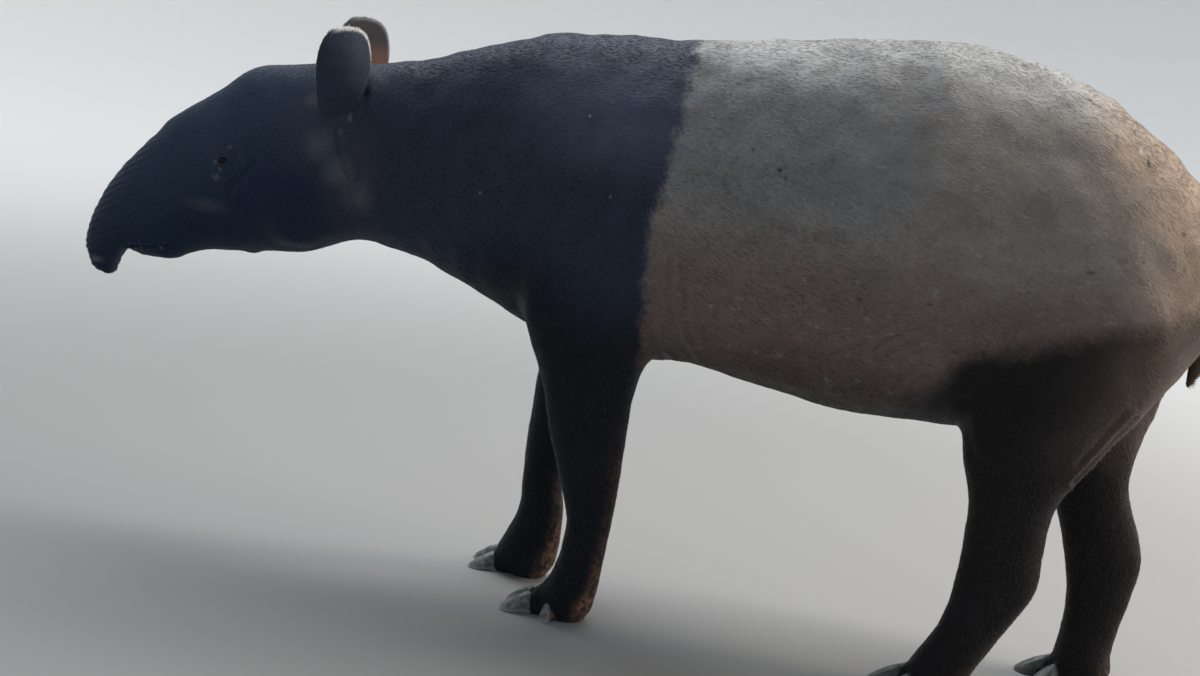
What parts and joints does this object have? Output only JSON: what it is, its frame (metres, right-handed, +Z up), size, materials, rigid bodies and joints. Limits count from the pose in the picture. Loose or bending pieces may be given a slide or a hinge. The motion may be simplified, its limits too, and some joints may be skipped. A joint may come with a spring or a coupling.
{
  "type": "malayan tapir",
  "caption": "Life-size still model of a Malayan tapir in mid-step: stout body, drooping proboscis, round cupped ears, short tail and hoofed toes.",
  "frame": {"origin": "on the floor, under the middle of the animal's length, on its middle plane", "axes": "-X is the way the animal faces, +Y is its right side, +Z is up"},
  "size_m": [1.9942, 0.5112, 1.0922],
  "materials": {
    "black_coat": "short black hair over thick skin",
    "pale_coat": "short grey-white hair over thick skin",
    "ear_coat": "short black hair with a white rim",
    "horn": "worn horn",
    "eye": "wet, dark brown"
  },
  "bodies": {
    "root": {"torso": "pale_coat", "neck": "black_coat", "head": "black_coat", "proboscis": "black_coat", "ear_left": "ear_coat", "ear_right": "ear_coat", "eye_left": "eye", "eye_right": "eye", "tail": "black_coat", "leg_front_left": "black_coat", "leg_front_right": "black_coat", "leg_hind_left": "black_coat", "leg_hind_right": "black_coat", "foot_front_left": "black_coat", "foot_front_right": "black_coat", "foot_hind_left": "black_coat", "foot_hind_right": "black_coat", "hoof_front_left_1": "horn", "hoof_front_left_2": "horn", "hoof_front_left_3": "horn", "hoof_front_left_4": "horn", "hoof_front_right_1": "horn", "hoof_front_right_2": "horn", "hoof_front_right_3": "horn", "hoof_front_right_4": "horn", "hoof_hind_left_1": "horn", "hoof_hind_left_2": "horn", "hoof_hind_left_3": "horn", "hoof_hind_right_1": "horn", "hoof_hind_right_2": "horn", "hoof_hind_right_3": "horn"}
  },
  "joints": []
}
